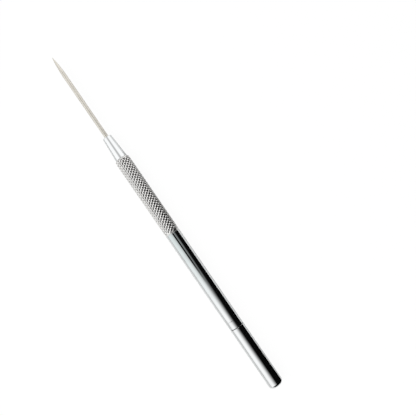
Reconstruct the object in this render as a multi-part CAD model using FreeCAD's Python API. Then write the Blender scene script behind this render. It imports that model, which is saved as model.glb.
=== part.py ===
import FreeCAD, Part
import math
import os

# A long metal needle tool for clay, lying on its side.
# The tool's axis runs along X with the point towards +X, +Z is up, and the origin is on the surface
# that the tool lies on, below the middle of its length. Sizes are millimetres.

# Lengths along the axis, from the point to the butt
needle_shown = 50.6  # needle in front of the nose cone
nose_length = 13.4  # nose cone, front face to shoulder
knurl_length = 46.8
run_out_length = 0.4  # plain neck behind the knurl
barrel_length = 58.95  # smooth tube between the neck and the seam
seam_width = 0.3  # gap between tube and cap, which the seal fills
cap_length = 36.95

# Diameters that show
needle_diameter = 2.2
nose_front_diameter = 4.9
nose_rear_diameter = 6.6
knurl_diameter = 8.35  # over the tips of the diamonds
knurl_depth = 0.42
run_out_drop = 0.38  # plain neck below the diamonds' tips
knurl_rear_step = 0.08  # corners where the knurl ends, above the neck
knurl_front_step = 0.15  # corners of the chamfered front face, outside the nose cone's shoulder
handle_diameter = 7.94  # barrel and cap are turned from the same bar size

# Needle
point_length = 12.5  # ogive point
point_flat = 0.3  # diameter of the worn tip
needle_tail = 26.0  # needle hidden behind the nose cone's front face
needle_edge = 0.2  # chamfer at the tail

# Diamond knurl
knurl_grooves = 11  # grooves round the grip in each of the two helix families
knurl_pitch = 1.7  # axial distance between diamonds, rounded to whole half diamonds
knurl_lead_in = 0.7  # height of the tips next to each end, as a part of the knurl's depth

# Nose cone's thread, in the grip's socket
nose_thread_diameter = 5.5
nose_thread_length = 7.5
nose_relief_length = 0.9  # undercut between thread and shoulder
nose_relief_depth = 0.3
nose_edge = 0.2  # chamfer of the front edge

# Collet, and its taper in the nose cone
collet_wall = 0.56
collet_tip_wall = 0.31
collet_taper_length = 2.4
collet_setback = 1.8  # collet's front face behind the nose cone's
collet_collar_height = 0.55  # collar's step above the body
collet_collar_length = 1.2
collet_slot_width = 0.3
collet_slot_length = 13.0
collet_slots = 2  # saw cuts right across, which leave twice as many fingers

# Grip's inside and its spigot in the tube
socket_run = 0.6  # from the front of the collet's collar to the end of the grip's wide socket
spigot_length = 10.0
spigot_edge = 0.4

# Tube, bush, seal and cap
barrel_bore_diameter = 6.0
barrel_edge = 0.2  # chamfers at both ends of the tube
band_length = 4.2  # rolled band in front of the seam
band_depth = 0.05
bush_seat_length = 8.0  # bush inside the tube
bush_bore_diameter = 4.4
cap_thread_diameter = 5.6
cap_thread_length = 8.0
cap_bore_diameter = 5.9  # plain drilling beyond the thread
cap_end_wall = 3.4
drill_cone_angle = 30  # cone at the bottom of the cap's drilling, in degrees off square
cap_edge = 0.2  # chamfer at the mouth
cap_rounding = 1.6  # rounding of the butt
seal_recess = 0.35  # seal's rim below the handle's surface
thread_edge = 0.35  # chamfer at the free end of each thread

# Fits, all radial or one-sided
turning_fit = 0.06  # threads and the collet in the cone
needle_fit = 0.04  # needle in the collet
needle_hole_gap = 0.15  # needle in the nose cone's front hole
needle_bore_gap = 0.3  # needle in the grip's bore
fixed_fit = 0.01  # pieces glued or rolled into each other
face_gap = 0.05  # shoulders that part when something is unscrewed

# Stations on the axis, from the butt
overall_length = (cap_length + seam_width + barrel_length + run_out_length + knurl_length
                  + face_gap + nose_length + needle_shown)
butt_x = -overall_length / 2
cap_mouth_x = butt_x + cap_length
tube_rear_x = cap_mouth_x + seam_width
tube_front_x = tube_rear_x + barrel_length
knurl_rear_x = tube_front_x + run_out_length
knurl_front_x = knurl_rear_x + knurl_length
nose_rear_x = knurl_front_x + face_gap
nose_front_x = nose_rear_x + nose_length
tip_x = nose_front_x + needle_shown
thread_end_x = nose_rear_x - nose_thread_length
collar_front_x = thread_end_x - face_gap
collar_rear_x = collar_front_x - collet_collar_length
seat_x = collar_rear_x - face_gap
collet_tip_x = nose_front_x - collet_setback

# Radii that more than one piece needs
collet_bore = needle_diameter / 2 + needle_fit
collet_body = collet_bore + collet_wall
collet_tip = collet_bore + collet_tip_wall
collet_collar = collet_body + collet_collar_height
neck = knurl_diameter / 2 - run_out_drop

# The tool lies on the knurl's lowest row of tips, or on its barrel if that is thicker
axis_height = max(knurl_diameter, handle_diameter) / 2

AXIS = FreeCAD.Vector(1, 0, 0)
CENTRE = FreeCAD.Vector(0, 0, 0)


def at(x, radius):
    """Point on the half plane that the profiles are drawn in."""
    return FreeCAD.Vector(x, 0, radius)


def line(start, end):
    return Part.LineSegment(at(*start), at(*end)).toShape()


def revolved(edges):
    return Part.Face(Part.Wire(edges)).revolve(CENTRE, AXIS, 360)


def turned(corners):
    """Turned solid whose section has these (x, radius) corners."""
    closed = corners + corners[:1]
    return revolved([line(a, b) for a, b in zip(closed, closed[1:])])


def needle():
    radius = needle_diameter / 2
    tip_radius = point_flat / 2
    shoulder_x = tip_x - point_length
    tail_x = nose_front_x - needle_tail
    # The ogive is one arc, tangent to the shank, which ends at the tip's flat
    rise = radius - tip_radius
    ogive_radius = (point_length ** 2 + rise ** 2) / (2 * rise)
    half_turn = math.asin(point_length / ogive_radius) / 2
    middle = (shoulder_x + ogive_radius * math.sin(half_turn),
              radius - ogive_radius * (1 - math.cos(half_turn)))
    ogive = Part.Arc(at(shoulder_x, radius), at(*middle), at(tip_x, tip_radius)).toShape()
    return revolved([
        line((tail_x, 0), (tail_x, radius - needle_edge)),
        line((tail_x, radius - needle_edge), (tail_x + needle_edge, radius)),
        line((tail_x + needle_edge, radius), (shoulder_x, radius)),
        ogive,
        line((tip_x, tip_radius), (tip_x, 0)),
        line((tip_x, 0), (tail_x, 0)),
    ])


def nose_cone():
    front = nose_front_diameter / 2
    rear = nose_rear_diameter / 2
    thread = nose_thread_diameter / 2
    relief = thread - nose_relief_depth
    relief_x = nose_rear_x - nose_relief_length
    outside = turned([
        (thread_end_x, 0),
        (thread_end_x, thread - thread_edge),
        (thread_end_x + thread_edge, thread),
        (relief_x - nose_relief_depth, thread),
        (relief_x, relief),
        (nose_rear_x, relief),
        (nose_rear_x, rear),
        (nose_front_x - nose_edge, front + (rear - front) * nose_edge / nose_length),
        (nose_front_x, front - nose_edge),
        (nose_front_x, 0),
    ])
    # The bore follows the collet, with its taper, and opens to the needle's hole in front
    taper_x = collet_tip_x - collet_taper_length
    wide = collet_body + turning_fit
    narrow = collet_tip + turning_fit
    hole = needle_diameter / 2 + needle_hole_gap
    inside = turned([
        (thread_end_x, 0),
        (thread_end_x, wide),
        (taper_x, wide),
        (collet_tip_x, narrow),
        (collet_tip_x + turning_fit, narrow),
        (collet_tip_x + turning_fit, hole),
        (nose_front_x, hole),
        (nose_front_x, 0),
    ])
    return outside.cut(inside)


def collet():
    taper_x = collet_tip_x - collet_taper_length
    fingers = turned([
        (collar_rear_x, collet_bore),
        (collar_rear_x, collet_collar),
        (collar_front_x, collet_collar),
        (collar_front_x, collet_body),
        (taper_x, collet_body),
        (collet_tip_x, collet_tip),
        (collet_tip_x, collet_bore),
    ])
    # Each saw cut runs right across, from the front face to a drilled relief hole
    slot_end_x = collet_tip_x - collet_slot_length
    for number in range(collet_slots):
        cut = Part.makeBox(collet_slot_length, collet_slot_width, 2 * collet_body,
                           FreeCAD.Vector(slot_end_x, -collet_slot_width / 2, -collet_body))
        relief = Part.makeCylinder(collet_slot_width, 2 * collet_body,
                                   FreeCAD.Vector(slot_end_x, 0, -collet_body))
        for cutter in (cut, relief):
            cutter.rotate(CENTRE, AXIS, 180 * number / collet_slots)
            fingers = fingers.cut(cutter)
    return fingers


def knurl():
    """Closed solid of four-sided diamonds between two families of crossing helical grooves.

    Grooves cross at points on the root cylinder, at every other place of a grid of half pitches
    and half rows. The other places are the diamonds' tips, and one row of them is exactly at the
    bottom. Both ends run into plain rings.
    """
    root = knurl_diameter / 2 - knurl_depth
    steps = round(2 * knurl_length / knurl_pitch)
    rows = 2 * knurl_grooves
    step = knurl_length / steps
    middle = steps // 2
    ends = {0: neck + knurl_rear_step, steps: nose_rear_diameter / 2 + knurl_front_step}

    def is_tip(i, k):
        return (i - middle + k) % 2 == 0

    def place(i, k):
        rise = 0
        if is_tip(i, k):
            rise = knurl_lead_in if i in (1, steps - 1) else 1
        radius = ends.get(i, root + rise * knurl_depth)
        angle = 2 * math.pi * (k % rows) / rows - math.pi / 2
        return FreeCAD.Vector(knurl_rear_x + i * step, radius * math.cos(angle), radius * math.sin(angle))

    faces = []
    for i in range(steps + 1):
        for k in range(rows):
            if not is_tip(i, k):
                continue
            around = [(i + 1, k), (i, k + 1), (i - 1, k), (i, k - 1)]
            for a, b in zip(around, around[1:] + around[:1]):
                if 0 <= min(a[0], b[0]) and max(a[0], b[0]) <= steps:
                    faces.append(flat_face([place(i, k), place(*a), place(*b)]))
    for i in (0, steps):
        faces.append(flat_face([place(i, k) for k in range(rows)]))
    shell = Part.Shell(faces)
    shell.sewShape()
    solid = Part.Solid(shell)
    if solid.Volume < 0:
        solid.reverse()
    return solid


def flat_face(corners):
    return Part.Face(Part.makePolygon(corners + corners[:1]))


def knurled_grip():
    spigot = barrel_bore_diameter / 2 - fixed_fit
    spigot_x = tube_front_x - spigot_length
    rear = turned([
        (spigot_x, 0),
        (spigot_x, spigot - spigot_edge),
        (spigot_x + spigot_edge, spigot),
        (tube_front_x, spigot),
        (tube_front_x, neck),
        (knurl_rear_x, neck),
        (knurl_rear_x, 0),
    ])
    # Socket for the thread, then the recess that centres the collet, then the bore for the needle
    socket = nose_thread_diameter / 2 + turning_fit
    seat = collet_collar + turning_fit
    bore = needle_diameter / 2 + needle_bore_gap
    inside = turned([
        (spigot_x, 0),
        (spigot_x, bore),
        (seat_x, bore),
        (seat_x, seat),
        (collar_front_x - socket_run, seat),
        (collar_front_x - socket_run, socket),
        (knurl_front_x, socket),
        (knurl_front_x, 0),
    ])
    return knurl().fuse(rear).cut(inside)


def barrel_tube():
    outer = handle_diameter / 2
    inner = barrel_bore_diameter / 2
    band_x = tube_rear_x + band_length
    return turned([
        (tube_rear_x, inner),
        (tube_rear_x, outer - band_depth - barrel_edge),
        (tube_rear_x + barrel_edge, outer - band_depth),
        (band_x, outer - band_depth),
        (band_x + band_depth, outer),
        (tube_front_x - barrel_edge, outer),
        (tube_front_x, outer - barrel_edge),
        (tube_front_x, inner),
    ])


def threaded_bush():
    seat = barrel_bore_diameter / 2 - fixed_fit
    thread = cap_thread_diameter / 2
    bore = bush_bore_diameter / 2
    front_x = tube_rear_x + bush_seat_length
    end_x = cap_mouth_x - cap_thread_length
    return turned([
        (end_x, bore),
        (end_x, thread - thread_edge),
        (end_x + thread_edge, thread),
        (tube_rear_x, thread),
        (tube_rear_x, seat),
        (front_x - thread_edge, seat),
        (front_x, seat - thread_edge),
        (front_x, bore),
    ])


def cap_seal():
    inner = cap_thread_diameter / 2 + turning_fit
    outer = handle_diameter / 2 - seal_recess
    rear_x = cap_mouth_x + face_gap
    front_x = tube_rear_x - face_gap
    return turned([(rear_x, inner), (rear_x, outer), (front_x, outer), (front_x, inner)])


def end_cap():
    outer = handle_diameter / 2
    turn = math.pi / 4
    rounding = Part.Arc(
        at(butt_x, outer - cap_rounding),
        at(butt_x + cap_rounding * (1 - math.sin(turn)), outer - cap_rounding * (1 - math.cos(turn))),
        at(butt_x + cap_rounding, outer),
    ).toShape()
    outside = revolved([
        line((butt_x, 0), (butt_x, outer - cap_rounding)),
        rounding,
        line((butt_x + cap_rounding, outer), (cap_mouth_x - cap_edge, outer)),
        line((cap_mouth_x - cap_edge, outer), (cap_mouth_x, outer - cap_edge)),
        line((cap_mouth_x, outer - cap_edge), (cap_mouth_x, 0)),
        line((cap_mouth_x, 0), (butt_x, 0)),
    ])
    # Tapped mouth, then the wider drilling, with the drill's cone at the bottom
    thread = cap_thread_diameter / 2 + turning_fit
    bore = cap_bore_diameter / 2
    thread_x = cap_mouth_x - cap_thread_length - face_gap
    bottom_x = butt_x + cap_end_wall
    inside = turned([
        (bottom_x, 0),
        (bottom_x + bore * math.tan(math.radians(drill_cone_angle)), bore),
        (thread_x - (bore - thread), bore),
        (thread_x, thread),
        (cap_mouth_x, thread),
        (cap_mouth_x, 0),
    ])
    return outside.cut(inside)


pieces = {
    "needle": needle,
    "nose_cone": nose_cone,
    "collet": collet,
    "knurled_grip": knurled_grip,
    "barrel_tube": barrel_tube,
    "threaded_bush": threaded_bush,
    "cap_seal": cap_seal,
    "end_cap": end_cap,
}

os.makedirs("parts", exist_ok=True)
for name, make in pieces.items():
    shape = make()
    shape.translate(FreeCAD.Vector(0, 0, axis_height))
    if not shape.isValid() or len(shape.Solids) != 1:
        raise RuntimeError(f"{name} is not one valid solid")
    shape.Solids[0].exportStep(f"parts/{name}.step")
    print(f"{name}: {shape.Volume:.1f} mm3, {len(shape.Faces)} faces")
print(f"overall length {overall_length:.2f} mm, axis {axis_height:.3f} mm up")
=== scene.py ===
import math

import bmesh
import bpy
import numpy as np
from mathutils import Matrix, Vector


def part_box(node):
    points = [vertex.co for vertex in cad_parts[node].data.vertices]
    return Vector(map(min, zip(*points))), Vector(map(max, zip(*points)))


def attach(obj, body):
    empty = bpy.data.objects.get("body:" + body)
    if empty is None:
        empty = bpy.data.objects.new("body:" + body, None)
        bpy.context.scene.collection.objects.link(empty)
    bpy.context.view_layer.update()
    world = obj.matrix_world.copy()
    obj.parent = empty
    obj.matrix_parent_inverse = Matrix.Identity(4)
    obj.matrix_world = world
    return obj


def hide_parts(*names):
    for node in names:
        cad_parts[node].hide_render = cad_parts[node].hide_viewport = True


# A long metal needle tool for clay. Sizes in the dictionaries are millimetres and degrees unless a note
# says otherwise. X runs along the tool towards the needle's point, and Z is up.
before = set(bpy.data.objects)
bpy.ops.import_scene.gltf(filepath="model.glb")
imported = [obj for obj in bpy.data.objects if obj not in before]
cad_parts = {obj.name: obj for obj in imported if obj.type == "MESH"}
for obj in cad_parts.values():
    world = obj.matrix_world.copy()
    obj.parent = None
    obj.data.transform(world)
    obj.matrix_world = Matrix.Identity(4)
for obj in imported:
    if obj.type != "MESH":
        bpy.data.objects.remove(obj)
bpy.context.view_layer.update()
metresPerMillimetre = 0.001
tiny = 1e-9  # keeps a division by a length from failing


def nodeBox(node):
    low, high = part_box(node)
    return np.array(low) / metresPerMillimetre, np.array(high) / metresPerMillimetre


tubeLow, tubeHigh = nodeBox("barrel_tube")
gripLow, gripHigh = nodeBox("knurled_grip")
coneLow, coneHigh = nodeBox("nose_cone")
needleLow, needleHigh = nodeBox("needle")
bushLow, bushHigh = nodeBox("threaded_bush")
sealLow, sealHigh = nodeBox("cap_seal")
capLow, capHigh = nodeBox("end_cap")
axisHeight = (tubeLow[2] + tubeHigh[2]) / 2
handleRadius = (tubeHigh[2] - tubeLow[2]) / 2
print("frame loaded, axis", round(float(axisHeight), 4), "mm up")


# count columns, and a closing one that repeats the first
def aroundAngles(count, first=0.0):
    return first + np.linspace(0, 2 * np.pi, count + 1)


# Each corner (x, radius, rounding) becomes a quadratic curve between the two points that lie one
# rounding away from it on its edges: (1-s)^2 before + 2s(1-s) corner + s^2 after. Straight runs get a
# point close to each curve and then one every runStep, so that smooth shading stays true on them.
def profileRings(corners, columns, arcPoints=6, runStep=1.5, besideCorner=(0.02, 0.08)):
    points = np.array([c[:2] for c in corners], float)
    rounding = np.array([c[2] for c in corners], float)[:, None]
    back = np.vstack([points[:1], points[:-1]]) - points
    ahead = np.vstack([points[1:], points[-1:]]) - points
    back /= np.maximum(np.linalg.norm(back, axis=1, keepdims=True), tiny)
    ahead /= np.maximum(np.linalg.norm(ahead, axis=1, keepdims=True), tiny)
    s = np.linspace(0, 1, arcPoints)[None, :, None]
    before, after = (points + back * rounding)[:, None], (points + ahead * rounding)[:, None]
    curves = (1 - s) ** 2 * before + 2 * s * (1 - s) * points[:, None] + s**2 * after
    line = []
    for number, curve in enumerate(curves):
        line.append(curve if rounding[number, 0] > 0 else curve[:1])
        if number + 1 < len(curves):
            start = line[-1][-1]
            end = curves[number + 1][0]
            length = np.linalg.norm(end - start)
            beside = np.array([d for d in besideCorner if d < length / 3])
            even = np.linspace(0, length, max(1, math.ceil(length / runStep)) + 1)[1:-1]
            places = np.unique(np.concatenate([beside, even, length - beside]))
            line.append(start + (end - start) * places[:, None] / max(length, tiny))
    return asRings(np.vstack(line), columns)


# Each point of a line (x, radius) becomes a ring: the same x and radius in every column
def asRings(line, columns):
    return np.repeat(line[:, :1], columns, 1), np.repeat(line[:, 1:2], columns, 1)


thread = {"pitch": 0.5, "depth": 0.27, "fit": 0.06, "rowsPerTurn": 10, "steepness": 0.75}


# A right-hand screw thread. Rows climb one pitch a turn and are held between the rings at start and
# end. Radius: crest minus depth times one minus a wave, which is a half plus steepness times the
# cosine of the place within the pitch, clipped to 0 and 1 so that crest and root are flat. Then it is
# kept below (or above) the limit at that place.
def screwRings(angles, start, end, crest, limit, keep):
    pitch, rowsPerTurn = thread["pitch"], thread["rowsPerTurn"]
    turns = angles / (2 * np.pi)
    step = pitch / rowsPerTurn
    first = math.floor((start - pitch * turns.max()) / step)
    last = math.ceil((end - pitch * turns.min()) / step)
    rows = np.arange(first, last + 1)
    x = np.clip(rows[:, None] * step + pitch * turns[None, :], start, end)
    around = 2 * np.pi * (rows % rowsPerTurn) / rowsPerTurn
    wave = np.clip(0.5 + thread["steepness"] * np.cos(around), 0, 1)
    radius = crest - thread["depth"] * (1 - wave[:, None] + 0 * x)
    return x, keep(radius, limit(x))


meshCleaning = {"mergeDistance": 1e-7, "leastEdge": 1e-8}  # metres


# Joins blocks of rings (x, radius, turn) into one closed surface round the tool's axis:
# y = radius cos(angle + turn), z = axis height + radius sin(angle + turn). creased gives the row where
# a block starts and, for its cells, which of their two diagonals is an edge.
def turnedPiece(name, angles, blocks, creased=None):
    x = np.vstack([b[0] for b in blocks])
    radius = np.vstack([b[1] for b in blocks])
    turn = np.vstack([np.zeros((len(b[0]), 1)) + (b[2] if len(b) > 2 else 0) for b in blocks])
    points = np.stack([x, radius * np.cos(angles + turn), axisHeight + radius * np.sin(angles + turn)], -1)
    rows, columns = x.shape
    corner = np.arange(rows * columns).reshape(rows, columns)
    a, b, c, d = corner[:-1, :-1], corner[1:, :-1], corner[1:, 1:], corner[:-1, 1:]
    cells = np.stack([a, b, c, d], -1)
    faces = []
    if creased is not None:
        startRow, rising = creased
        part = cells[startRow : startRow + len(rising)]
        up, down = part[rising], part[~rising]
        faces += np.vstack([up[:, [0, 1, 2]], up[:, [0, 2, 3]]]).tolist()
        faces += np.vstack([down[:, [0, 1, 3]], down[:, [1, 2, 3]]]).tolist()
        cells = np.vstack([cells[:startRow], cells[startRow + len(rising) :]])
    faces += cells.reshape(-1, 4).tolist()
    mesh = bpy.data.meshes.new(name)
    mesh.from_pydata((points.reshape(-1, 3) * metresPerMillimetre).tolist(), [], faces)
    shape = bmesh.new()
    shape.from_mesh(mesh)
    bmesh.ops.remove_doubles(shape, verts=shape.verts, dist=meshCleaning["mergeDistance"])
    bmesh.ops.dissolve_degenerate(shape, edges=shape.edges, dist=meshCleaning["leastEdge"])
    bmesh.ops.recalc_face_normals(shape, faces=shape.faces)
    openEdges = sum(1 for e in shape.edges if len(e.link_faces) != 2)
    shape.to_mesh(mesh)
    shape.free()
    mesh.polygons.foreach_set("use_smooth", np.ones(len(mesh.polygons), bool))
    mesh.update()
    piece = bpy.data.objects.new(name, mesh)
    bpy.context.scene.collection.objects.link(piece)
    print(name, len(mesh.polygons), "faces, open edges", openEdges)
    return piece


# The piece moves with the body and takes the CAD node's place
def standFor(piece, body, node, material):
    piece.data.materials.append(material)
    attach(piece, body)
    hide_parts(node)


def link(tree, source, target):
    tree.links.new(source, target)


# Inputs are named by their socket, with _ for a space, or i0, i1 and so on by their number. A value
# that is itself a socket is linked.
def addNode(tree, kind, settings=None, **inputs):
    node = tree.nodes.new(kind)
    for key, value in (settings or {}).items():
        setattr(node, key, value)
    for key, value in inputs.items():
        numbered = key[0] == "i" and key[1:].isdigit()
        socket = node.inputs[int(key[1:]) if numbered else key.replace("_", " ")]
        if isinstance(value, bpy.types.NodeSocket):
            link(tree, value, socket)
        else:
            socket.default_value = value
    return node


def calc(tree, operation, first, second=0.0):
    return addNode(tree, "ShaderNodeMath", {"operation": operation}, i0=first, i1=second).outputs[0]


def times(tree, first, second):
    return calc(tree, "MULTIPLY", first, second)


def plus(tree, first, second):
    return calc(tree, "ADD", first, second)


def oneMinus(tree, value):
    return calc(tree, "SUBTRACT", 1.0, value)


def ramp(tree, value, fromLow, fromHigh, toLow=0.0, toHigh=1.0, smooth=True):
    kind = "SMOOTHSTEP" if smooth else "LINEAR"
    node = addNode(tree, "ShaderNodeMapRange", {"interpolation_type": kind},
                   Value=value, From_Min=fromLow, From_Max=fromHigh, To_Min=toLow, To_Max=toHigh)
    return node.outputs[0]


# The way from first to second that a share of 0 to 1 stands for
def between(tree, share, first, second):
    return ramp(tree, share, 0, 1, first, second, smooth=False)


def mixValues(tree, share, first, second):
    return addNode(tree, "ShaderNodeMix", {"data_type": "FLOAT"}, i0=share, i2=first, i3=second).outputs[0]


def vectorMath(tree, operation, **inputs):
    return addNode(tree, "ShaderNodeVectorMath", {"operation": operation}, **inputs).outputs


# Object coordinate along X, in metres
def alongTool(tree):
    place = addNode(tree, "ShaderNodeTexCoord").outputs["Object"]
    return addNode(tree, "ShaderNodeSeparateXYZ", i0=place).outputs["X"]


def blendColours(tree, amount, first, second):
    node = addNode(tree, "ShaderNodeMix", {"data_type": "RGBA"}, i0=amount, i6=first, i7=second)
    return node.outputs[2]


def newGroup(name, inputs, outputs):
    group = bpy.data.node_groups.new(name, "ShaderNodeTree")
    for key, value in inputs.items():
        socket = group.interface.new_socket(name=key, in_out="INPUT", socket_type="NodeSocketFloat")
        socket.default_value = value
    for key in outputs:
        group.interface.new_socket(name=key, in_out="OUTPUT", socket_type="NodeSocketFloat")
    return group, group.nodes.new("NodeGroupInput").outputs, group.nodes.new("NodeGroupOutput").inputs


def placeGroup(tree, group, **values):
    node = tree.nodes.new("ShaderNodeGroup")
    node.node_tree = group
    for key, value in values.items():
        node.inputs[key].default_value = value
    return node.outputs


# Noise on object coordinates with its own fineness along and across the tool, per metre
def stretchedNoise(tree, along, across, detail=3.0, turn=(0.0, 0.0, 0.0)):
    place = addNode(tree, "ShaderNodeTexCoord").outputs["Object"]
    turned = addNode(tree, "ShaderNodeMapping", Vector=place, Rotation=turn).outputs[0]
    fineness = addNode(tree, "ShaderNodeCombineXYZ", X=along, Y=across, Z=across).outputs[0]
    scaled = vectorMath(tree, "MULTIPLY", i0=turned, i1=fineness)[0]
    return addNode(tree, "ShaderNodeTexNoise", Vector=scaled, Scale=1.0, Detail=detail).outputs["Fac"]


# Fine lines that run round the axis, as turning and polishing leave them
def makeTurnedLines():
    group, given, out = newGroup("turnedLines", {"fineness": 6000.0, "wander": 60.0}, ["height"])
    link(group, stretchedNoise(group, given["fineness"], given["wander"]), out["height"])
    return group


# Fine lines along the tool, as drawing and handling leave them
def makeDrawnLines():
    group, given, out = newGroup("drawnLines", {"fineness": 9000.0, "wander": 50.0}, ["height"])
    link(group, stretchedNoise(group, given["wander"], given["fineness"]), out["height"])
    return group


# Soft patches where fingers have dulled the polish, 0 to 1
def makeHandledHaze(detail=5.0):
    group, given, out = newGroup("handledHaze", {"size": 110.0, "start": 0.5, "end": 0.72}, ["haze"])
    noise = stretchedNoise(group, given["size"], given["size"], detail)
    link(group, ramp(group, noise, given["start"], given["end"]), out["haze"])
    return group


scratchShape = {
    "edge": 0.05,
    "detail": 1.0,
    "firstTurn": (0.0, 0.16, 0.22),  # radians
    "secondTurn": (0.1, 0.3, -0.4),
}


# Sparse hair scratches in two slanted directions, 0 to 1
def makeHairScratches():
    defaults = {"length": 130.0, "fineness": 9000.0, "rarity": 0.66}
    group, given, out = newGroup("hairScratches", defaults, ["scratch"])
    length, fineness, rarity = [given[key] for key in defaults]
    detail, firstTurn, secondTurn = [scratchShape[key] for key in ("detail", "firstTurn", "secondTurn")]
    most = plus(group, rarity, scratchShape["edge"])
    one = ramp(group, stretchedNoise(group, length, fineness, detail, firstTurn), rarity, most)
    two = ramp(group, stretchedNoise(group, fineness, length, detail, secondTurn), rarity, most)
    link(group, calc(group, "MAXIMUM", one, two), out["scratch"])
    return group


# 0 at the inner radius and 1 at the outer one, both in metres from the tool's axis
def makeDepthFromAxis():
    group, given, out = newGroup("depthFromAxis", {"inner": 0.0037, "outer": 0.0042}, ["height"])
    place = addNode(group, "ShaderNodeTexCoord").outputs["Object"]
    centred = addNode(group, "ShaderNodeMapping", Vector=place,
                      Location=(0, 0, -axisHeight * metresPerMillimetre)).outputs[0]
    across = vectorMath(group, "MULTIPLY", i0=centred, i1=(0, 1, 1))[0]
    radius = vectorMath(group, "LENGTH", i0=across)["Value"]
    link(group, ramp(group, radius, given["inner"], given["outer"], smooth=False), out["height"])
    return group


turnedLines = makeTurnedLines()
drawnLines = makeDrawnLines()
handledHaze = makeHandledHaze()
hairScratches = makeHairScratches()
depthFromAxis = makeDepthFromAxis()


# The node tree of a material or world, without the nodes that it starts with
def emptyTree(owner):
    owner.use_nodes = True
    owner.node_tree.nodes.clear()
    return owner.node_tree


def newMaterial(name, metallic, specular=0.5):
    material = bpy.data.materials.new(name)
    tree = emptyTree(material)
    shader = addNode(tree, "ShaderNodeBsdfPrincipled")
    shader.inputs["Metallic"].default_value = metallic
    shader.inputs["Specular IOR Level"].default_value = specular
    addNode(tree, "ShaderNodeOutputMaterial", Surface=shader.outputs[0])
    return material, tree, shader.inputs


def setColour(tree, sockets, amount, first, second):
    link(tree, blendColours(tree, amount, first, second), sockets["Base Color"])


def setNormal(tree, sockets, height, distance):
    bump = addNode(tree, "ShaderNodeBump", Height=height, Distance=distance, Strength=1.0)
    link(tree, bump.outputs[0], sockets["Normal"])


# Nose cone, barrel and cap
plateFinish = {
    "colour": (0.87, 0.885, 0.89, 1),
    "hazeColour": (0.79, 0.80, 0.80, 1),
    "roughness": 0.035,
    "lineRoughness": 0.02,
    "hazeRoughness": 0.035,
    "scratchRoughness": 0.12,
    "hazeShare": 0.5,  # most that the haze changes the colour
    "lines": {"fineness": 5200.0, "wander": 40.0},
    "haze": {"size": 120.0, "start": 0.48, "end": 0.75},
    "scratches": {"length": 110.0, "fineness": 8000.0, "rarity": 0.69},
    "bumpDistance": 1.2e-7,  # metres
}


def makePolishedPlate():
    material, tree, sockets = newMaterial("polishedPlate", 1.0)
    lines = placeGroup(tree, turnedLines, **plateFinish["lines"])["height"]
    haze = placeGroup(tree, handledHaze, **plateFinish["haze"])["haze"]
    scratch = placeGroup(tree, hairScratches, **plateFinish["scratches"])["scratch"]
    rough = times(tree, lines, plateFinish["lineRoughness"])
    rough = plus(tree, rough, plateFinish["roughness"])
    rough = plus(tree, rough, times(tree, haze, plateFinish["hazeRoughness"]))
    rough = plus(tree, rough, times(tree, scratch, plateFinish["scratchRoughness"]))
    link(tree, rough, sockets["Roughness"])
    dulled = times(tree, haze, plateFinish["hazeShare"])
    setColour(tree, sockets, dulled, plateFinish["colour"], plateFinish["hazeColour"])
    setNormal(tree, sockets, lines, plateFinish["bumpDistance"])
    return material


# Grip: bright diamonds, with old clay and painted shade darkening the pits between them
knurlFinish = {
    "crestColour": (0.935, 0.92, 0.905, 1),
    # dark colour of the pits: old clay, and painted shade where light falls short in them
    "pitDirtAndShadeColour": (0.04, 0.028, 0.024, 1),
    "crestRoughness": 0.06,
    "grooveRoughness": 0.25,
    "dirtAndShadeFull": 0.05,  # shares of the knurl's depth up to which dirt and painted shade fill its pits, and where they end
    "dirtAndShadeEnd": 0.15,
    "plainRoughness": 0.3,  # more on the plain rings beside the knurl
    "grime": {"size": 420.0, "start": 0.35, "end": 0.7},
    "grimeDepth": 0.1,  # by how much grime raises the dirt and painted shade
    "grimeRoughness": 0.03,
    "rearFade": (0.0, 0.0009),  # metres from the knurl's rear between which the dirt and painted shade start
    "frontFade": (0.0009, 0.0006),  # metres from its front between which they end
    "lines": {"fineness": 7000.0, "wander": 500.0},
    "bumpDistance": 2e-7,  # metres
}


def makeKnurledPlate():
    material, tree, sockets = newMaterial("knurledPlate", 1.0)
    tip = gripSizes["tipRadius"] * metresPerMillimetre
    root = tip - gripSizes["knurlDepth"] * metresPerMillimetre
    height = placeGroup(tree, depthFromAxis, inner=root, outer=tip)["height"]
    grime = placeGroup(tree, handledHaze, **knurlFinish["grime"])["haze"]
    lines = placeGroup(tree, turnedLines, **knurlFinish["lines"])["height"]
    uneven = calc(tree, "SUBTRACT", height, times(tree, grime, knurlFinish["grimeDepth"]))
    # painted shade with dirt: the pits grow dark with depth
    dirtAndShade = ramp(tree, uneven, knurlFinish["dirtAndShadeFull"], knurlFinish["dirtAndShadeEnd"], 1, 0)
    along = alongTool(tree)
    front = gripHigh[0] * metresPerMillimetre
    rear = front - gripSizes["knurlLength"] * metresPerMillimetre
    fromRear = ramp(tree, along, *[rear + d for d in knurlFinish["rearFade"]])
    toFront = ramp(tree, along, *[front - d for d in knurlFinish["frontFade"]], 1, 0)
    onKnurl = times(tree, fromRear, toFront)
    dirtAndShade = times(tree, dirtAndShade, onKnurl)
    setColour(tree, sockets, dirtAndShade, knurlFinish["crestColour"], knurlFinish["pitDirtAndShadeColour"])
    crest, groove = knurlFinish["crestRoughness"], knurlFinish["grooveRoughness"]
    rough = between(tree, dirtAndShade, crest, groove)
    plain = times(tree, oneMinus(tree, onKnurl), knurlFinish["plainRoughness"])
    rough = plus(tree, rough, plain)
    rough = plus(tree, rough, times(tree, grime, knurlFinish["grimeRoughness"]))
    link(tree, rough, sockets["Roughness"])
    setNormal(tree, sockets, lines, knurlFinish["bumpDistance"])
    return material


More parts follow.
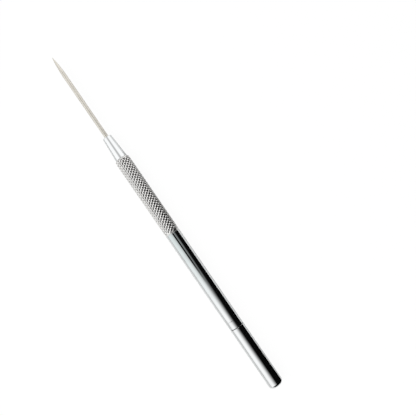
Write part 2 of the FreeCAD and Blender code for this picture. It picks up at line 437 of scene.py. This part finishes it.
# Needle: drawn along its shank and ground round its point
needleFinish = {
    "colour": (0.85, 0.81, 0.735, 1),
    "dullColour": (0.68, 0.64, 0.57, 1),
    "roughness": 0.24,
    "lineRoughness": 0.14,
    "drawn": {"fineness": 11000.0, "wander": 70.0},
    "ground": {"fineness": 7500.0, "wander": 250.0},
    "groundFade": (-0.002, 0.003),  # metres from the point's rear end between which it turns ground
    "haze": {"size": 240.0, "start": 0.42, "end": 0.7},
    "dullShare": 0.4,
    "bumpDistance": 6e-7,  # metres
}


def makeNeedleSteel():
    material, tree, sockets = newMaterial("needleSteel", 1.0)
    drawn = placeGroup(tree, drawnLines, **needleFinish["drawn"])["height"]
    ground = placeGroup(tree, turnedLines, **needleFinish["ground"])["height"]
    shoulder = (needleHigh[0] - needleSizes["pointLength"]) * metresPerMillimetre
    onPoint = ramp(tree, alongTool(tree), *[shoulder + d for d in needleFinish["groundFade"]])
    mixed = mixValues(tree, onPoint, drawn, ground)
    haze = placeGroup(tree, handledHaze, **needleFinish["haze"])["haze"]
    dull = times(tree, plus(tree, mixed, haze), needleFinish["dullShare"])
    setColour(tree, sockets, dull, needleFinish["colour"], needleFinish["dullColour"])
    rough = times(tree, mixed, needleFinish["lineRoughness"])
    link(tree, plus(tree, rough, needleFinish["roughness"]), sockets["Roughness"])
    setNormal(tree, sockets, mixed, needleFinish["bumpDistance"])
    return material


# Collet and bush
brassFinish = {
    "colour": (0.80, 0.62, 0.30, 1),
    "tarnish": (0.50, 0.34, 0.16, 1),
    "tarnishShare": 0.7,
    "lines": {"fineness": 9000.0, "wander": 30.0},
    "haze": {"size": 500.0, "start": 0.4, "end": 0.75},
    "roughness": 0.2,
    "addedRoughness": 0.16,
    "bumpDistance": 1e-6,  # metres
}


def makeTurnedBrass():
    material, tree, sockets = newMaterial("turnedBrass", 1.0)
    lines = placeGroup(tree, turnedLines, **brassFinish["lines"])["height"]
    haze = placeGroup(tree, handledHaze, **brassFinish["haze"])["haze"]
    tarnished = times(tree, haze, brassFinish["tarnishShare"])
    setColour(tree, sockets, tarnished, brassFinish["colour"], brassFinish["tarnish"])
    rough = times(tree, plus(tree, lines, haze), brassFinish["addedRoughness"])
    link(tree, plus(tree, rough, brassFinish["roughness"]), sockets["Roughness"])
    setNormal(tree, sockets, lines, brassFinish["bumpDistance"])
    return material


# Seal in the seam between barrel and cap
rubberFinish = {
    "colour": (0.035, 0.035, 0.036, 1),
    "bloom": (0.075, 0.075, 0.072, 1),
    "patches": {"size": 900.0, "start": 0.35, "end": 0.8},
    "grain": {"fineness": 16000.0, "wander": 16000.0},
    "specular": 0.4,
    "roughness": 0.62,
    "addedRoughness": 0.12,
    "bumpDistance": 4e-6,  # metres
}


def makeSealRubber():
    material, tree, sockets = newMaterial("sealRubber", 0.0, rubberFinish["specular"])
    bloom = placeGroup(tree, handledHaze, **rubberFinish["patches"])["haze"]
    grain = placeGroup(tree, turnedLines, **rubberFinish["grain"])["height"]
    setColour(tree, sockets, bloom, rubberFinish["colour"], rubberFinish["bloom"])
    rough = times(tree, plus(tree, bloom, grain), rubberFinish["addedRoughness"])
    link(tree, plus(tree, rough, rubberFinish["roughness"]), sockets["Roughness"])
    setNormal(tree, sockets, grain, rubberFinish["bumpDistance"])
    return material


needleSizes = {
    "pointLength": 12.5, "tipRadius": 0.15, "tailEdge": 0.2, "edgeRounding": 0.05,
    "pointRings": 60, "tipRings": 7, "columns": 72,
}


# The point is an arc tangent to the shank: radius = shank - (R - sqrt(R^2 - s^2)), with s the way
# along it and R the arc's own radius. A quarter circle rounds the very tip.
def makeNeedle(material):
    radius = (needleHigh[2] - needleLow[2]) / 2
    length = needleSizes["pointLength"] - needleSizes["tipRadius"]
    rise = radius - needleSizes["tipRadius"]
    arcRadius = (length**2 + rise**2) / (2 * rise)
    angles = aroundAngles(needleSizes["columns"])
    shoulder = needleHigh[0] - needleSizes["pointLength"]
    edge, rounding = needleSizes["tailEdge"], needleSizes["edgeRounding"]
    shank = profileRings([
        (needleLow[0], 0, 0),
        (needleLow[0], radius - edge, rounding),
        (needleLow[0] + edge, radius, rounding),
        (shoulder, radius, 0),
    ], len(angles))
    s = np.linspace(0, length, needleSizes["pointRings"])[1:]
    point = np.stack([shoulder + s, radius - (arcRadius - np.sqrt(arcRadius**2 - s**2))], 1)
    a = np.linspace(0, np.pi / 2, needleSizes["tipRings"])[1:]
    tipRadius = needleSizes["tipRadius"]
    tip = np.stack([needleHigh[0] - tipRadius + tipRadius * np.sin(a), tipRadius * np.cos(a)], 1)
    tip[-1, 1] = 0
    blocks = [shank, asRings(point, len(angles)), asRings(tip, len(angles))]
    piece = turnedPiece("needleBlade", angles, blocks)
    standFor(piece, "needle", "needle", material)


coneSizes = {
    "length": 13.4, "frontRadius": 2.45, "frontEdge": 0.2, "frontRounding": 0.07,
    "shoulderRadius": 3.3, "shoulderRounding": 0.06,
    "holeRadius": 1.25, "holeEdge": 0.12, "holeRounding": 0.04,
    "colletRadius": 1.76, "colletTipRadius": 1.51, "colletSetback": 1.8, "colletTaper": 2.4,
    "seatRounding": 0.02, "taperRounding": 0.1, "innerRounding": 0.05,
    "stubRadius": 2.75, "threadEdge": 0.35,
    "reliefRadius": 2.45, "reliefLength": 0.9, "reliefEdge": 0.1, "reliefRoundings": (0.08, 0.03),
    "columns": 120,
}


# A straight cone: radius = front radius + slope times the way back from the front, out to the shoulder.
# Behind it come the relief and the threaded stub, and inside the needle's hole opens into a taper, whose
# radius grows evenly backwards, that closes the collet.
def makeNoseCone(material):
    size = coneSizes
    angles = aroundAngles(size["columns"])
    front, free = coneHigh[0], coneLow[0]
    shoulder = front - size["length"]
    reliefStart = shoulder - size["reliefLength"]
    end, relief, edge = size["stubRadius"] - size["threadEdge"], size["reliefRadius"], size["frontEdge"]
    slope = (size["shoulderRadius"] - size["frontRadius"]) / size["length"]
    limit = lambda x: np.minimum(end + (x - free), relief + (reliefStart - x))
    screw = screwRings(angles, free, reliefStart, size["stubRadius"], limit, np.minimum)
    reliefEdge, (reliefRounding, cornerRounding) = size["reliefEdge"], size["reliefRoundings"]
    hole, holeEdge, holeRounding = size["holeRadius"], size["holeEdge"], size["holeRounding"]
    colletFront, seatRounding = front - size["colletSetback"], size["seatRounding"]
    outside = profileRings([
        (reliefStart, relief, 0),
        (shoulder - reliefEdge, relief, reliefRounding),
        (shoulder, relief + reliefEdge, cornerRounding),
        (shoulder, size["shoulderRadius"], size["shoulderRounding"]),
        (front - edge, size["frontRadius"] + slope * edge, size["frontRounding"]),
        (front, size["frontRadius"] - edge, size["frontRounding"]),
        (front, hole + holeEdge, holeRounding),
        (front - holeEdge, hole, holeRounding),
        (colletFront + thread["fit"], hole, seatRounding),
        (colletFront + thread["fit"], size["colletTipRadius"], seatRounding),
        (colletFront, size["colletTipRadius"], seatRounding),
        (colletFront - size["colletTaper"], size["colletRadius"], size["taperRounding"]),
        (free, size["colletRadius"], size["innerRounding"]),
        (free, end, 0),
    ], len(angles))
    piece = turnedPiece("noseConeTurned", angles, [screw, outside])
    standFor(piece, "nose_cone", "nose_cone", material)


gripSizes = {
    "tipRadius": 4.175, "knurlDepth": 0.42, "grooves": 11, "halfDiamonds": 55, "knurlLength": 46.8,
    "twist": 26, "firstTip": 0.7, "rearRing": 3.875, "frontRing": 3.45,
    "crestShare": 0.9, "crestSoftness": 0.1, "grooveSoftness": 0.07, "roundness": 0.5, "skin": 0.002,
    "pointsPerHalfDiamond": 6,
    "neckRadius": 3.795, "neckRounding": 0.03,
    "spigotRadius": 2.99, "spigotEdge": 0.4, "spigotRounding": 0.08,
    "socketRadius": 2.81, "socketDepth": 8.1, "mouthEdge": 0.2, "threadPlay": 0.03,
    "seatRadius": 2.31, "seatDepth": 8.8, "boreRadius": 1.4, "innerRounding": 0.05,
    "untwistSetback": 5,  # behind the socket, where the bore's columns start to turn back
}


# The lesser of two heights. Over width on both sides of their crossing it is share times a plus the rest
# times b, less width times share times the rest, which rounds the corner between them.
def smoothLesser(a, b, width):
    share = np.clip(0.5 + 0.5 * (b - a) / width, 0, 1)
    return b * (1 - share) + a * share - width * share * (1 - share)


# Diamond knurl. With s and v counting half diamonds from a tip, along and around, two families of V
# grooves run where w = s+v and w = s-v are odd. The height above a groove is 1 - |(w+1) mod 2 - 1| for
# each family, and the surface is the lesser of the two, with worn crests and rounded bottoms. Plating
# and wear have rounded it, by the share roundness, towards the wave (1 + cos(pi s) cos(pi v)) / 2,
# which has the same tips. Both ends run into plain rings, and the rows of diamonds wander round the
# grip by the twist. Also gives, for each cell, which diagonal follows a groove.
def knurlRings(rearX, columns):
    size = gripSizes
    fine, steps = size["pointsPerHalfDiamond"], size["halfDiamonds"]
    s = (np.arange(steps * fine + 1) / fine)[:, None]
    v = (np.arange(columns) / fine)[None, :]
    fromMiddle = s - steps // 2
    heights = [1 - np.abs(np.mod(w + 1, 2) - 1) for w in (fromMiddle + v, fromMiddle - v)]
    height = smoothLesser(np.minimum(*heights), size["crestShare"], size["crestSoftness"])
    height = -smoothLesser(-height, -size["grooveSoftness"] / 2, size["grooveSoftness"])
    worn = size["crestShare"] * (1 + np.cos(np.pi * fromMiddle) * np.cos(np.pi * v)) / 2
    height += (worn - height) * size["roundness"]
    root = size["tipRadius"] - size["knurlDepth"]
    base = np.interp(s, [0, 1, steps - 1, steps], [size["rearRing"], root, root, size["frontRing"]])
    rise = np.interp(np.minimum(s, steps - s), [0, 1, 2], [0, size["firstTip"], 1])
    radius = base + size["knurlDepth"] * rise * height - size["skin"]
    x = rearX + size["knurlLength"] * s / steps + 0 * v
    turn = -math.radians(size["twist"]) * fromMiddle / steps
    coarse = (np.arange(steps * fine) // fine)[:, None] + (np.arange(columns - 1) // fine)[None, :]
    return (x, radius, turn), (coarse - steps // 2) % 2 == 1


# From the rear: spigot, neck, knurl, front face, threaded socket, and the bores back to the rear. Each
# straight part keeps one radius. The turn of the rings is the knurl's rear turn behind it and its front
# turn ahead of it and in the socket, and goes evenly from one to the other in the bore.
def makeGrip(material):
    size = gripSizes
    angles = aroundAngles(2 * size["grooves"] * size["pointsPerHalfDiamond"], -math.pi / 2)
    front, spigotEnd = gripHigh[0], gripLow[0]
    knurlRear = front - size["knurlLength"]
    neckRear = tubeHigh[0]
    knurl, rising = knurlRings(knurlRear, len(angles))
    rearTurn, frontTurn = knurl[2][0, 0], knurl[2][-1, 0]
    spigotEdge, spigotRounding = size["spigotEdge"], size["spigotRounding"]
    neckRounding, innerRounding = size["neckRounding"], size["innerRounding"]
    rear = profileRings([
        (spigotEnd, size["boreRadius"], 0),
        (spigotEnd, size["spigotRadius"] - spigotEdge, spigotRounding),
        (spigotEnd + spigotEdge, size["spigotRadius"], spigotRounding),
        (neckRear, size["spigotRadius"], innerRounding),
        (neckRear, size["neckRadius"], innerRounding),
        (knurlRear - neckRounding, size["neckRadius"], neckRounding),
        (knurlRear, size["rearRing"] - size["skin"], 0),
    ], len(angles))
    inner = front - size["socketDepth"]
    mouth, plain = size["socketRadius"] + size["mouthEdge"], size["socketRadius"] + size["threadPlay"]
    face = profileRings([(front, size["frontRing"] - size["skin"], 0), (front, mouth, 0)], len(angles))
    limit = lambda x: np.maximum(mouth - (front - x), plain - (x - inner))
    screw = screwRings(angles + frontTurn, inner, front, size["socketRadius"], limit, np.maximum)
    socket = profileRings([
        (inner, plain, 0),
        (inner, size["seatRadius"], innerRounding),
        (front - size["seatDepth"], size["seatRadius"], innerRounding),
        (front - size["seatDepth"], size["boreRadius"], innerRounding),
        (spigotEnd, size["boreRadius"], 0),
    ], len(angles))
    ends = [spigotEnd, inner - size["untwistSetback"]]
    untwist = np.interp(socket[0][:, :1], ends, [rearTurn, frontTurn])
    inwards = (screw[0][::-1], screw[1][::-1], frontTurn)
    blocks = [(*rear, rearTurn), knurl, (*face, frontTurn), inwards, (*socket, untwist)]
    piece = turnedPiece("gripKnurled", angles, blocks, (len(rear[0]), rising))
    standFor(piece, "handle", "knurled_grip", material)


tubeSizes = {
    "boreRadius": 3.0, "boreRounding": 0.05, "edge": 0.05, "edgeRounding": 0.02,
    "bandLength": 4.2, "bandDepth": 0.05, "bandEase": 0.05, "columns": 160,
}


# A plain tube: radius is the handle's, or the band's depth less between the seam and the band's front,
# with an even slope over twice the ease between the two.
def makeTube(material):
    size = tubeSizes
    angles = aroundAngles(size["columns"])
    rear, front, outer, edge = tubeLow[0], tubeHigh[0], handleRadius, size["edge"]
    band, ease = rear + size["bandLength"], size["bandEase"]
    rolled, rounding = outer - size["bandDepth"], size["edgeRounding"]
    rings = profileRings([
        (rear, size["boreRadius"], 0),
        (rear, rolled - edge, rounding),
        (rear + edge, rolled, rounding),
        (band - ease, rolled, ease),
        (band + ease, outer, ease),
        (front - edge, outer, rounding),
        (front, outer - edge, rounding),
        (front, size["boreRadius"], size["boreRounding"]),
        (rear, size["boreRadius"], 0),
    ], len(angles))
    piece = turnedPiece("barrelTubePolished", angles, [rings])
    standFor(piece, "handle", "barrel_tube", material)


bushSizes = {
    "seatRadius": 2.99, "seatLength": 8.0, "seatRounding": 0.05, "threadRadius": 2.8, "edge": 0.35,
    "relief": 0.5, "reliefDrop": 0.02, "reliefRoundings": (0.04, 0.03),
    "boreRadius": 2.2, "boreRounding": 0.08, "columns": 120,
}


# A threaded stub with a plain seat ahead of it. The stub's radius is the thread's, limited by a 45 degree
# chamfer at its free end and by the relief at the shoulder, and one bore goes through all of it.
def makeBush(material):
    size = bushSizes
    angles = aroundAngles(size["columns"])
    free, front = bushLow[0], bushHigh[0]
    shoulder = front - size["seatLength"]
    core = size["threadRadius"] - thread["depth"] - size["reliefDrop"]
    threadEnd, edge = shoulder - size["relief"], size["edge"]
    end = size["threadRadius"] - edge
    limit = lambda x: np.minimum(end + (x - free), core + (threadEnd - x))
    screw = screwRings(angles, free, threadEnd, size["threadRadius"], limit, np.minimum)
    reliefRounding, cornerRounding = size["reliefRoundings"]
    outside = profileRings([
        (threadEnd, core, 0),
        (shoulder, core, reliefRounding),
        (shoulder, size["seatRadius"], cornerRounding),
        (front - edge, size["seatRadius"], size["seatRounding"]),
        (front, size["seatRadius"] - edge, size["seatRounding"]),
        (front, size["boreRadius"], size["boreRounding"]),
        (free, size["boreRadius"], size["boreRounding"]),
        (free, end, 0),
    ], len(angles))
    piece = turnedPiece("capBushThreaded", angles, [screw, outside])
    standFor(piece, "handle", "threaded_bush", material)


sealSizes = {"boreRadius": 2.86, "bulge": 0.05, "columns": 120}


# A ring whose radius is full over its middle third and falls by the bulge to both ends, with soft corners
def makeSeal(material):
    angles = aroundAngles(sealSizes["columns"])
    rear, front = sealLow[0], sealHigh[0]
    outer, third = (sealHigh[2] - sealLow[2]) / 2, (front - rear) / 3
    rings = profileRings([
        (rear, sealSizes["boreRadius"], 0),
        (rear, outer - sealSizes["bulge"], third / 2),
        (rear + third, outer, third / 2),
        (front - third, outer, third / 2),
        (front, outer - sealSizes["bulge"], third / 2),
        (front, sealSizes["boreRadius"], third / 2),
        (rear, sealSizes["boreRadius"], 0),
    ], len(angles))
    piece = turnedPiece("capSealRing", angles, [rings])
    standFor(piece, "cap_seal", "cap_seal", material)


capSizes = {
    "rounding": 1.6, "roundingRings": 20, "flatRun": 0.4, "besideRounding": 0.01,
    "edge": 0.05, "edgeRounding": 0.02, "threadRadius": 2.86, "threadDepth": 8.05, "mouthEdge": 0.15,
    "endWall": 3.4, "drillRadius": 2.95, "drillCone": 30, "drillRounding": 0.08, "columns": 160,
}


# The butt's rounding is a quarter circle: x = butt + r (1 - sin a), radius = outer - r (1 - cos a). The
# hole ends in a drill's cone, as deep as its radius times the tangent of the cone's angle.
def makeCap(material):
    size = capSizes
    angles = aroundAngles(size["columns"])
    butt, mouth, outer = capLow[0], capHigh[0], handleRadius
    a = np.linspace(0, np.pi / 2, size["roundingRings"])[::-1]
    rounding, edge = size["rounding"], size["edge"]
    rounded = np.stack([butt + rounding * (1 - np.sin(a)), outer - rounding * (1 - np.cos(a))], 1)
    flat = profileRings([(butt, 0, 0), (butt, outer - rounding, 0)], len(angles), runStep=size["flatRun"])
    mouthRadius = size["threadRadius"] + size["mouthEdge"]
    outside = profileRings([
        (butt + rounding + size["besideRounding"], outer, 0),
        (mouth - edge, outer, size["edgeRounding"]),
        (mouth, outer - edge, size["edgeRounding"]),
        (mouth, mouthRadius, 0),
    ], len(angles))
    inner = mouth - size["threadDepth"]
    drill = size["drillRadius"]
    limit = lambda x: np.maximum(mouthRadius - (mouth - x), drill - (x - inner))
    screw = screwRings(angles, inner, mouth, size["threadRadius"], limit, np.maximum)
    bottom = butt + size["endWall"]
    inside = profileRings([
        (inner, drill, 0),
        (bottom + drill * math.tan(math.radians(size["drillCone"])), drill, size["drillRounding"]),
        (bottom, 0, 0),
    ], len(angles))
    inwards = (screw[0][::-1], screw[1][::-1])
    blocks = [flat, asRings(rounded, len(angles)), outside, inwards, inside]
    piece = turnedPiece("endCapPolished", angles, blocks)
    standFor(piece, "end_cap", "end_cap", material)


polishedPlate = makePolishedPlate()
knurledPlate = makeKnurledPlate()
needleSteel = makeNeedleSteel()
turnedBrass = makeTurnedBrass()
sealRubber = makeSealRubber()
print("materials made")

makeNeedle(needleSteel)
makeNoseCone(polishedPlate)
makeGrip(knurledPlate)
makeTube(polishedPlate)
makeBush(turnedBrass)
makeSeal(sealRubber)
makeCap(polishedPlate)
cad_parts["collet"].data.materials.clear()
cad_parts["collet"].data.materials.append(turnedBrass)
print("pieces made")

studio = {
    "panelLevel": (1.08, 0.86),  # above the rear and above the front of the tool
    "panelLow": (-50, -62),  # side angle at which the panel starts to fade, rear and front
    "panelHigh": (24, 64),  # side angle at which it has gone, rear and front
    "panelTurn": (-12, -1),  # forward angles between which rear becomes front
    "panelTint": (0.93, 1.0, 0.995, 1),  # in front
    "panelBack": (-22, -34),  # forward angles between which the panel's edge moves to the left
    "backFade": (-95, -60),  # side angles between which it fades there
    "horizonDim": (-65, -95, 0.2),  # side angles between which the rear of the panel fades, and by how much
    "aheadBand": (9, 13, 56, 66),  # forward angles of the white wall ahead: start, full, full, end
    "aheadLevel": 1.1,
    "pointForward": (25, 33),  # forward angles, mirrored by the needle's point, from which its left is dim
    "pointSide": (-5, -45),  # side angles between which that starts
    "pointLost": 0.5,  # share of the light lost there
    "cameraSide": 1.5,  # side angle of the camera's dark image
    "cameraHalf": (9, 14),  # angles from its middle at which the camera is all dark and all gone
    "cameraForward": (-8.5, -4),  # forward angles between which it comes into sight
    "cameraLost": (26, 34),  # and is lost again
    "coneForward": (4, 12),  # forward angles between which its image grows soft
    "coneHalf": (6, 30),  # the same as cameraHalf, for the soft image
    "coneDip": 0.5,  # how dark the soft image is
    "darkLevel": 0.0025,
    "cardNear": (-0.12, -0.008),  # metres, rear foot of the black card
    "cardFar": (0.04, -0.047),  # its front foot
    "cardHeight": 0.05,
    "cardColour": (0.003, 0.003, 0.003, 1),
    "shadowSheetRear": (-0.005, -0.008),  # corners of the grey sheet of painted shadow that lies on the right of the grip
    "shadowSheetFront": (0.045, -0.05),
    "shadowSheetLift": 0.0002,
    "shadowSheetColour": (0.45, 0.45, 0.45, 1),
    "lampPower": 2.6,
    "lampSize": 0.5,
    "lampPlace": (0.0, 0.42, 0.6),  # metres
    "floorHalf": 3.0,
    "floorColour": (0.84, 0.84, 0.835, 1),
    "floorWhite": 0.93,  # share of plain white in what the camera sees of the floor
    "whiteLevel": 1.03,
    "floorMirrored": 0.12,  # the same share in what metal mirrors
    "mirroredFloorShadeSpan": (0.012, 0.05),  # metres to the left between which the mirrored floor darkens with painted shade
    "mirroredFloorShadeLevel": 0.62,
}


# The room that the metal mirrors, by direction. Side angle: 0 above, +90 level on the camera's right.
# Forward angle: 0 level across the tool, +90 ahead of its point. A large white panel on the left fades
# out above the tool, the right is dark, and a band ahead of the nose cone is white all round.
def makeWorld():
    world = bpy.data.worlds.new("studioRoom")
    bpy.context.scene.world = world
    tree = emptyTree(world)
    direction = addNode(tree, "ShaderNodeTexCoord").outputs["Generated"]
    parts = addNode(tree, "ShaderNodeSeparateXYZ", i0=direction).outputs
    rightwards = times(tree, parts["Y"], -1.0)
    side = calc(tree, "DEGREES", calc(tree, "ARCTAN2", rightwards, parts["Z"]))
    forward = calc(tree, "DEGREES", calc(tree, "ARCSINE", parts["X"]))

    inFront = ramp(tree, forward, *studio["panelTurn"], smooth=False)
    level = between(tree, inFront, *studio["panelLevel"])
    low, high = [between(tree, inFront, *studio[key]) for key in ("panelLow", "panelHigh")]
    atBack = ramp(tree, forward, *studio["panelBack"])
    backLow, backHigh = studio["backFade"]
    low, high = between(tree, atBack, low, backLow), between(tree, atBack, high, backHigh)
    panel = times(tree, ramp(tree, side, low, high, 1, 0), level)
    dimStart, dimEnd, dimShare = studio["horizonDim"]
    dim = times(tree, ramp(tree, side, dimEnd, dimStart, dimShare, 0), oneMinus(tree, inFront))
    panel = times(tree, panel, oneMinus(tree, dim))

    start, whole, stillWhole, end = studio["aheadBand"]
    bandEnd = ramp(tree, forward, stillWhole, end, studio["aheadLevel"], 0)
    ahead = times(tree, ramp(tree, forward, start, whole), bandEnd)
    light = calc(tree, "MAXIMUM", panel, ahead)
    leftStart, leftWhole = studio["pointSide"]
    dim = times(tree, ramp(tree, forward, *studio["pointForward"], 0, studio["pointLost"]),
                ramp(tree, side, leftWhole, leftStart, 1, 0))
    light = times(tree, light, oneMinus(tree, dim))

    fromCamera = calc(tree, "ABSOLUTE", calc(tree, "SUBTRACT", side, studio["cameraSide"]))
    onCone = ramp(tree, forward, *studio["coneForward"])
    full, gone = [between(tree, onCone, *ends) for ends in zip(studio["cameraHalf"], studio["coneHalf"])]
    depth = between(tree, onCone, 1, studio["coneDip"])
    inSight = times(tree, ramp(tree, forward, *studio["cameraForward"]),
                    ramp(tree, forward, *studio["cameraLost"], 1, 0))
    dip = times(tree, ramp(tree, fromCamera, full, gone, 1, 0), times(tree, depth, inSight))
    light = times(tree, light, oneMinus(tree, dip))

    tint = blendColours(tree, inFront, (1, 1, 1, 1), studio["panelTint"])
    tint = blendColours(tree, ahead, tint, (1, 1, 1, 1))
    light = plus(tree, light, studio["darkLevel"])
    seen = addNode(tree, "ShaderNodeLightPath").outputs["Is Camera Ray"]
    colour = blendColours(tree, seen, tint, (1, 1, 1, 1))
    strength = mixValues(tree, seen, light, 1.0)
    background = addNode(tree, "ShaderNodeBackground", Color=colour, Strength=strength)
    addNode(tree, "ShaderNodeOutputWorld", Surface=background.outputs[0])


def stagePlane(name, corners, material):
    mesh = bpy.data.meshes.new(name)
    mesh.from_pydata(corners, [], [(0, 1, 2, 3)])
    mesh.materials.append(material)
    plane = bpy.data.objects.new(name, mesh)
    bpy.context.scene.collection.objects.link(plane)
    return plane


# A pale floor. Most of what the camera sees of it is plain white, and the rest is lit and keeps the tool's
# shadow. What the metal mirrors of it takes painted shade further to the left.
def makeFloor():
    material = bpy.data.materials.new("paleFloor")
    tree = emptyTree(material)
    white = addNode(tree, "ShaderNodeEmission", Color=(1, 1, 1, 1), Strength=studio["whiteLevel"])
    path = addNode(tree, "ShaderNodeLightPath").outputs
    mirrored = calc(tree, "MAXIMUM", path["Is Glossy Ray"], path["Is Transmission Ray"])
    place = addNode(tree, "ShaderNodeTexCoord").outputs["Object"]
    left = addNode(tree, "ShaderNodeSeparateXYZ", i0=place).outputs["Y"]
    # painted shade, only in what the metal mirrors: the floor darkens towards the left
    dim = times(tree, ramp(tree, left, *studio["mirroredFloorShadeSpan"]), mirrored)
    dimmed = [studio["mirroredFloorShadeLevel"] * v for v in studio["floorColour"][:3]] + [1]
    lit = addNode(tree, "ShaderNodeBsdfDiffuse", Color=blendColours(tree, dim, studio["floorColour"], dimmed))
    share = calc(tree, "MAXIMUM", times(tree, path["Is Camera Ray"], studio["floorWhite"]),
                 times(tree, mirrored, studio["floorMirrored"]))
    mix = addNode(tree, "ShaderNodeMixShader", i0=share)
    link(tree, lit.outputs[0], mix.inputs[1])
    link(tree, white.outputs[0], mix.inputs[2])
    addNode(tree, "ShaderNodeOutputMaterial", Surface=mix.outputs[0])
    half = studio["floorHalf"]
    corners = [(-half, -half, 0), (half, -half, 0), (half, half, 0), (-half, half, 0)]
    stagePlane("studioFloor", corners, material)


# Dark sheets that only mirrored rays meet
def darkSheet(name, corners, colour):
    material = bpy.data.materials.new(name)
    tree = emptyTree(material)
    dark = addNode(tree, "ShaderNodeBsdfDiffuse", Color=colour)
    addNode(tree, "ShaderNodeOutputMaterial", Surface=dark.outputs[0])
    sheet = stagePlane(name, corners, material)
    sheet.visible_camera = sheet.visible_diffuse = False
    sheet.visible_shadow = sheet.visible_transmission = False


# A black card stands on the right, so that the metal has its dark side, and a grey sheet of painted shadow
# lies there beside the grip: the floor's shade there, which only the metal mirrors.
def makeCards():
    near, far, high = studio["cardNear"], studio["cardFar"], studio["cardHeight"]
    corners = [(*near, 0), (*far, 0), (*far, high), (*near, high)]
    darkSheet("blackCard", corners, studio["cardColour"])
    # painted shadow: a grey sheet that stands for the floor's shade beside the grip in reflections
    (rearX, rearY), (frontX, frontY), lift = studio["shadowSheetRear"], studio["shadowSheetFront"], studio["shadowSheetLift"]
    corners = [(rearX, rearY, lift), (frontX, rearY, lift), (frontX, frontY, lift), (rearX, frontY, lift)]
    darkSheet("darkSheet", corners, studio["shadowSheetColour"])


def makeLamp():
    data = bpy.data.lights.new("softLamp", "AREA")
    data.size = studio["lampSize"]
    data.energy = studio["lampPower"]
    lamp = bpy.data.objects.new("softLamp", data)
    lamp.location = studio["lampPlace"]
    lamp.rotation_euler = lamp.location.to_track_quat("Z", "Y").to_euler()
    lamp.visible_glossy = False
    bpy.context.scene.collection.objects.link(lamp)


viewpoint = {
    "tipPixel": (51.5, 57.0),
    "buttPixel": (277.5, 386.0),
    "framePixels": 416,
    "focalPixels": 478.0,
    "sensorWidth": 36.0,
    "clipStart": 0.01,  # metres
    "above": 250.0,  # height over the tool's axis
    "alongX": -7.2,  # from the middle of the tool's length
    "acrossY": -22.65,  # to the side of the tool
}


# Looks straight down, turned so that the tool runs from the tip's pixel to the butt's
def makeCamera():
    (tipU, tipV), (buttU, buttV) = viewpoint["tipPixel"], viewpoint["buttPixel"]
    length = math.hypot(buttU - tipU, buttV - tipV)
    c, s = (buttU - tipU) / length, (buttV - tipV) / length
    data = bpy.data.cameras.new("viewCamera")
    data.sensor_width = viewpoint["sensorWidth"]
    data.lens = data.sensor_width * viewpoint["focalPixels"] / viewpoint["framePixels"]
    data.clip_start = viewpoint["clipStart"]
    camera = bpy.data.objects.new("viewCamera", data)
    height = axisHeight + viewpoint["above"]
    place = np.array([viewpoint["alongX"], viewpoint["acrossY"], height]) * metresPerMillimetre
    camera.matrix_world = Matrix((
        (-c, s, 0, place[0]),
        (-s, -c, 0, place[1]),
        (0, 0, 1, place[2]),
        (0, 0, 0, 1),
    ))
    bpy.context.scene.collection.objects.link(camera)
    bpy.context.scene.camera = camera


makeWorld()
makeFloor()
makeCards()
makeLamp()
makeCamera()
bpy.context.scene.view_settings.view_transform = "Standard"
print("studio made")
